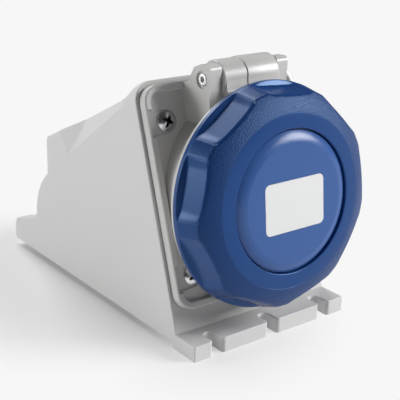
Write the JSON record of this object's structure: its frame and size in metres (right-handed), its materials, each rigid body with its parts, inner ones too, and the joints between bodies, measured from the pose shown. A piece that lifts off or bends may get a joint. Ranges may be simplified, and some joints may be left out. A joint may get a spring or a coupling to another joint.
{
  "type": "industrial wall socket",
  "caption": "Surface-mounted industrial wall socket: wedge housing with slotted foot, angled collar and a hinged lid closed by a faceted bayonet ring.",
  "frame": {"origin": "on the wall plane, below the foot of the sloping face, on the centre line", "axes": "+Z out of the wall, +Y towards the cable entry, +X to the right seen from the plug"},
  "size_m": [0.1022, 0.179, 0.1248],
  "materials": {
    "housing_grey": "fine satin moulding",
    "flange_grey": "fine satin moulding",
    "carrier_grey": "satin",
    "ring_blue": "gloss flats, grained front",
    "dome_blue": "fine grain",
    "label_white": "satin",
    "seal_rubber": "matte",
    "screw_chrome": "bright plated",
    "pin_steel": "drawn",
    "contact_brass": "turned"
  },
  "bodies": {
    "root": {"wall_box": "housing_grey", "box_seal": "seal_rubber", "socket_flange": "flange_grey", "flange_screws": "screw_chrome", "hinge_pin": "pin_steel", "lid_spring": "pin_steel", "contact_carrier": "carrier_grey", "contact_line": "contact_brass", "contact_neutral": "contact_brass", "contact_earth": "contact_brass", "contact_springs": "pin_steel", "terminal_screws": "screw_chrome", "carrier_cover": "carrier_grey", "cover_screws": "screw_chrome", "entry_plug": "housing_grey", "entry_seal": "seal_rubber"},
    "lid": {"lid_arm": "flange_grey", "lid_dome": "dome_blue", "label_plate": "label_white", "lid_seal": "seal_rubber", "lid_screws": "screw_chrome"},
    "ring": {"lock_ring": "ring_blue"}
  },
  "joints": [
    {"name": "lid_hinge", "type": "hinge", "parent": "root", "child": "lid", "pos_m": [0, 0.01565, 0.1164], "axis": [-1, 0, 0], "range_deg": [0, 110], "stiffness_Nm_per_rad": 0.08, "springref_deg": -45.84},
    {"name": "lock_ring_turn", "type": "hinge", "parent": "lid", "child": "ring", "pos_m": [0, -0.0116, 0.06665], "axis": [0, 0.9945, -0.1045], "range_deg": [0, 37]}
  ]
}
